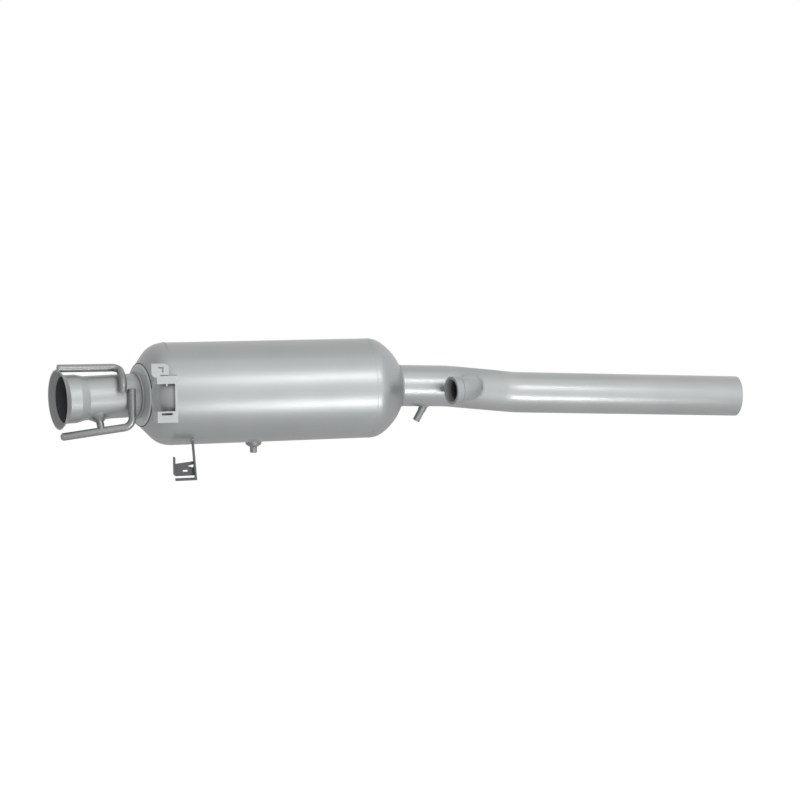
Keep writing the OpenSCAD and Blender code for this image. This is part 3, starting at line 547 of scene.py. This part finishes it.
class FilterStudio(bpy.types.PropertyGroup):
    """Camera, lamps and floor"""
    eye: FloatVectorProperty(
        name="Eye", description="Place of the camera", subtype="TRANSLATION", unit="LENGTH",
        default=(-0.09003, -2.13044, 0.23915))
    target: FloatVectorProperty(
        name="Target", description="What the camera looks at", subtype="TRANSLATION", unit="LENGTH",
        default=(0.494, -0.0245, -0.01371))
    lens: FloatProperty(name="Lens", description="Focal length in millimetres", default=64.55, min=1)
    sensor: FloatProperty(
        name="Sensor", description="Width of the camera's sensor in millimetres", default=36, min=1)
    floor: FloatProperty(
        name="Floor", description="Height of the floor", unit="LENGTH", default=-0.9)
    floor_reach: FloatProperty(
        name="Floor reach", description="From the middle of the floor to its sides",
        unit="LENGTH", default=8)
    floor_lift: FloatProperty(
        name="Floor lift", description="Glow that lifts the floor to white for the camera", default=0.72)
    box_along: FloatProperty(
        name="Softboxes along", description="Place of the two softboxes along the can",
        unit="LENGTH", default=0.78)
    box_distance: FloatProperty(
        name="Softbox distance", description="From the can's axis to a softbox", unit="LENGTH", default=1.6)
    box_length: FloatProperty(
        name="Softbox length", description="Length of a softbox", unit="LENGTH", default=0.6)
    box_width: FloatProperty(
        name="Softbox width", description="Width of a softbox", unit="LENGTH", default=0.24)
    upper_glow: FloatProperty(
        name="Upper glow", description="Brightness of the upper softbox, where white paper is 1",
        default=8)
    upper_angle: FloatProperty(
        name="Upper angle", description="Angle of the upper softbox over the horizon", default=33)
    lower_glow: FloatProperty(
        name="Lower glow", description="Brightness of the lower softbox, where white paper is 1",
        default=12)
    lower_angle: FloatProperty(
        name="Lower angle", description="Angle of the lower softbox over the horizon", default=-26)
    panel_along: FloatProperty(
        name="Panel along", description="Place of the broad panel along the can",
        unit="LENGTH", default=0.9)
    panel_length: FloatProperty(
        name="Panel length", description="Length of the broad panel", unit="LENGTH", default=1.6)
    panel_width: FloatProperty(
        name="Panel width", description="Width of the broad panel", unit="LENGTH", default=2.0)
    panel_glow: FloatProperty(
        name="Panel glow", description="Brightness of the broad panel, where white paper is 1",
        default=0.5)
    panel_angle: FloatProperty(
        name="Panel angle", description="Angle of the broad panel over the horizon", default=8)
    roof_along: FloatProperty(
        name="Roof along", description="Place of the overhead panel along the can",
        unit="LENGTH", default=0.5)
    roof_length: FloatProperty(
        name="Roof length", description="Length of the overhead panel", unit="LENGTH", default=2.4)
    roof_width: FloatProperty(
        name="Roof width", description="Width of the overhead panel", unit="LENGTH", default=1.3)
    roof_glow: FloatProperty(
        name="Roof glow", description="Brightness of the overhead panel, where white paper is 1",
        default=0.4)
    roof_angle: FloatProperty(
        name="Roof angle", description="Angle of the overhead panel over the horizon", default=62)
    bright: FloatProperty(
        name="Bright side", description="Brightness of the rest of the studio, where white paper is 1",
        default=0.96)
    dim: FloatProperty(
        name="Dim side", description="Brightness of the studio's dim side, where white paper is 1",
        default=0.6)
    dim_side: FloatVectorProperty(
        name="Dim direction", description="Direction of the studio's dim side", subtype="DIRECTION",
        default=(-0.86, 0.0, 0.5))


class FilterStage(bpy.types.Operator):
    """Makes the floor, the light and the camera"""
    bl_idname = "filter_part.stage"
    bl_label = "Studio"

    def execute(self, context):
        scene = context.scene
        studio = scene.filter_studio
        scene.view_settings.view_transform = "Standard"
        self.camera(scene, studio)
        self.world(scene, studio)
        self.floor(scene, studio)
        low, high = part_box("can_shell")
        axis = (low + high) / 2
        box = (studio.box_along, studio.box_length, studio.box_width)
        panel = (studio.panel_along, studio.panel_length, studio.panel_width)
        roof = (studio.roof_along, studio.roof_length, studio.roof_width)
        for name, angle, glow, (along, long, wide) in (
                ("upper_softbox", studio.upper_angle, studio.upper_glow, box),
                ("lower_softbox", studio.lower_angle, studio.lower_glow, box),
                ("broad_panel", studio.panel_angle, studio.panel_glow, panel),
                ("overhead_panel", studio.roof_angle, studio.roof_glow, roof)):
            out = Vector((0, -math.cos(math.radians(angle)), math.sin(math.radians(angle))))
            lamp = bpy.data.lights.new(name, "AREA")
            lamp.shape = "RECTANGLE"
            lamp.size, lamp.size_y = long, wide
            lamp.energy = glow * math.pi * long * wide
            light = bpy.data.objects.new(name, lamp)
            light.location = Vector((along, axis.y, axis.z)) + out * studio.box_distance
            light.rotation_euler = (-out).to_track_quat("-Z", "Y").to_euler()
            light.visible_camera = False
            scene.collection.objects.link(light)
        return {"FINISHED"}

    def camera(self, scene, studio):
        """Sets up the camera."""
        lens = bpy.data.cameras.new("camera")
        lens.lens = studio.lens
        lens.sensor_width = studio.sensor
        camera = bpy.data.objects.new("camera", lens)
        scene.collection.objects.link(camera)
        eye, target = Vector(studio.eye), Vector(studio.target)
        camera.location = eye
        camera.rotation_euler = (target - eye).to_track_quat("-Z", "Y").to_euler()
        scene.camera = camera

    def world(self, scene, studio):
        """Surrounds the part with white, dimmer on one side."""
        world = bpy.data.worlds.new("white_studio")
        world.use_nodes = True
        tree = world.node_tree
        tree.nodes.clear()
        path = add(tree, "ShaderNodeLightPath")
        shown = add(tree, "ShaderNodeMath", {
            0: path.outputs["Is Camera Ray"], 1: path.outputs["Is Transmission Ray"]}, operation="MAXIMUM")
        # White behind the part, dimmer towards one side where only the part sees it
        place = add(tree, "ShaderNodeTexCoord")
        side = add(tree, "ShaderNodeVectorMath", {0: place.outputs["Generated"], 1: studio.dim_side},
                   operation="DOT_PRODUCT")
        glow = add(tree, "ShaderNodeMapRange", {
            "Value": side.outputs["Value"], "To Min": studio.bright, "To Max": studio.dim})
        around = add(tree, "ShaderNodeBackground", {"Color": (1, 1, 1, 1), "Strength": glow.outputs[0]})
        white = add(tree, "ShaderNodeBackground", {"Color": (1, 1, 1, 1), "Strength": 1.0})
        both = add(tree, "ShaderNodeMixShader", {
            0: shown.outputs[0], 1: around.outputs[0], 2: white.outputs[0]})
        add(tree, "ShaderNodeOutputWorld", {"Surface": both.outputs[0]})
        scene.world = world

    def floor(self, scene, studio):
        """Lays a white floor under the part."""
        far, z = studio.floor_reach, studio.floor
        mesh = bpy.data.meshes.new("floor")
        corners = [(-far, -far, z), (far, -far, z), (far, far, z), (-far, far, z)]
        mesh.from_pydata(corners, [], [(0, 1, 2, 3)])
        floor = bpy.data.objects.new("floor", mesh)
        scene.collection.objects.link(floor)
        # Matt white paper, lifted to white where the camera sees it, under the shadow that it keeps
        material = empty_material("matt_white_paper")
        tree = material.node_tree
        path = add(tree, "ShaderNodeLightPath")
        paper = add(tree, "ShaderNodeBsdfDiffuse", {"Color": rgba(linear("DCDCDC"))})
        shadow = add(tree, "ShaderNodeBsdfDiffuse", {"Color": rgba(linear("A0A0A0"))})
        lift = add(tree, "ShaderNodeEmission", {"Strength": studio.floor_lift})
        seen = add(tree, "ShaderNodeAddShader", {0: shadow.outputs[0], 1: lift.outputs[0]})
        both = add(tree, "ShaderNodeMixShader", {
            0: path.outputs["Is Camera Ray"], 1: paper.outputs[0], 2: seen.outputs[0]})
        add(tree, "ShaderNodeOutputMaterial", {"Surface": both.outputs[0]})
        mesh.materials.append(material)


class FilterPanel(bpy.types.Panel):
    """Lists the filter's groups of pieces"""
    bl_idname = "VIEW3D_PT_filter_part"
    bl_label = "Particulate filter"
    bl_space_type = "VIEW_3D"
    bl_region_type = "UI"
    bl_category = "Filter"

    def draw(self, context):
        for operator in OPERATORS:
            self.layout.operator(operator.bl_idname)


OPERATORS = (FilterCan, FilterTubes, FilterFittings, FilterCore, FilterWelds, FilterStage)
GROUPS = {"filter_finish": FilterFinish, "filter_weld": FilterWeld, "filter_studio": FilterStudio}


def register():
    for made in (*GROUPS.values(), *OPERATORS, FilterPanel):
        bpy.utils.register_class(made)
    for name, group in GROUPS.items():
        setattr(bpy.types.Scene, name, PointerProperty(type=group))


def unregister():
    for name in GROUPS:
        delattr(bpy.types.Scene, name)
    for made in reversed((*GROUPS.values(), *OPERATORS, FilterPanel)):
        bpy.utils.unregister_class(made)


def main():
    register()
    bpy.ops.filter_part.stage()
    bpy.ops.filter_part.can()
    bpy.ops.filter_part.tubes()
    bpy.ops.filter_part.fittings()
    bpy.ops.filter_part.core()
    bpy.ops.filter_part.welds()


if __name__ == "__main__":
    main()
